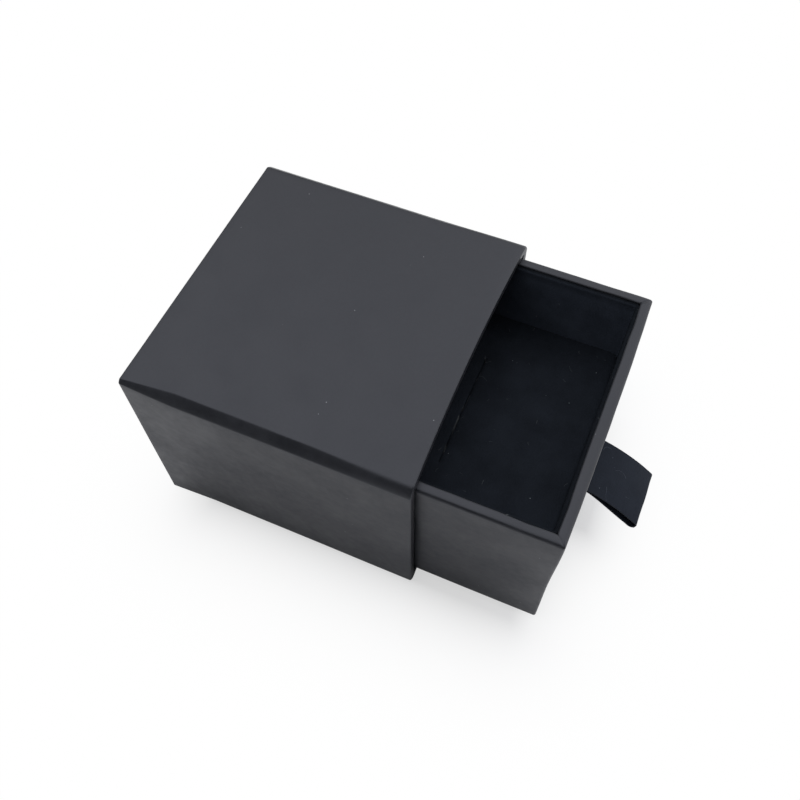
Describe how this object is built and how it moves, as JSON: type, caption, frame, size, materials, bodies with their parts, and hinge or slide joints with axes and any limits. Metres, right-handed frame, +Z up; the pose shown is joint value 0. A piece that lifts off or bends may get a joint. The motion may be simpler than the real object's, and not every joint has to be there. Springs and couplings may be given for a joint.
{
  "type": "sliding drawer gift box",
  "caption": "Paper-covered board sleeve with a sliding drawer, a ribbon pull and a velvet-covered foam insert with a slit for a ring.",
  "frame": {"origin": "centre of the sleeve's base, on the underside of its base sheet", "axes": "+Z up, the sleeve's mouth faces -Y and the drawer pulls out along -Y, +X is to the right seen from the front"},
  "size_m": [0.075, 0.121, 0.056],
  "materials": {
    "greyboard": "matte",
    "black_paper": "satin",
    "kraft_tape": "matte",
    "black_velvet": "matte",
    "black_foam": "matte",
    "black_satin": "satin"
  },
  "bodies": {
    "sleeve": {"sleeve_top_board": "greyboard", "sleeve_right_board": "greyboard", "sleeve_bottom_board": "greyboard", "sleeve_left_board": "greyboard", "sleeve_back_board": "greyboard", "sleeve_wrap": "black_paper", "sleeve_base_sheet": "black_paper", "sleeve_back_sheet": "black_paper", "sleeve_back_lining": "black_paper", "sleeve_lining": "black_paper"},
    "drawer": {"drawer_left_board": "greyboard", "drawer_right_board": "greyboard", "drawer_front_board": "greyboard", "drawer_back_board": "greyboard", "drawer_bottom_board": "greyboard", "drawer_corner_stay_1": "kraft_tape", "drawer_corner_stay_2": "kraft_tape", "drawer_corner_stay_3": "kraft_tape", "drawer_corner_stay_4": "kraft_tape", "drawer_wrap": "black_paper", "drawer_floor_paper": "black_paper", "drawer_velvet_lining": "black_velvet", "insert_velvet_cover": "black_velvet", "insert_foam_front": "black_foam", "insert_foam_back": "black_foam", "ribbon_tail": "black_satin", "ribbon_anchor_tape": "kraft_tape"},
    "pull": {"pull_ribbon": "black_satin"}
  },
  "joints": [
    {"name": "drawer_slide", "type": "slide", "parent": "sleeve", "child": "drawer", "axis": [0, -1, 0], "range_m": [-0.0337, 0.0375]},
    {"name": "pull_hinge", "type": "hinge", "parent": "drawer", "child": "pull", "pos_m": [0, -0.0703, 0.0275], "axis": [-1, 0, 0], "range_deg": [-50, 105]}
  ]
}
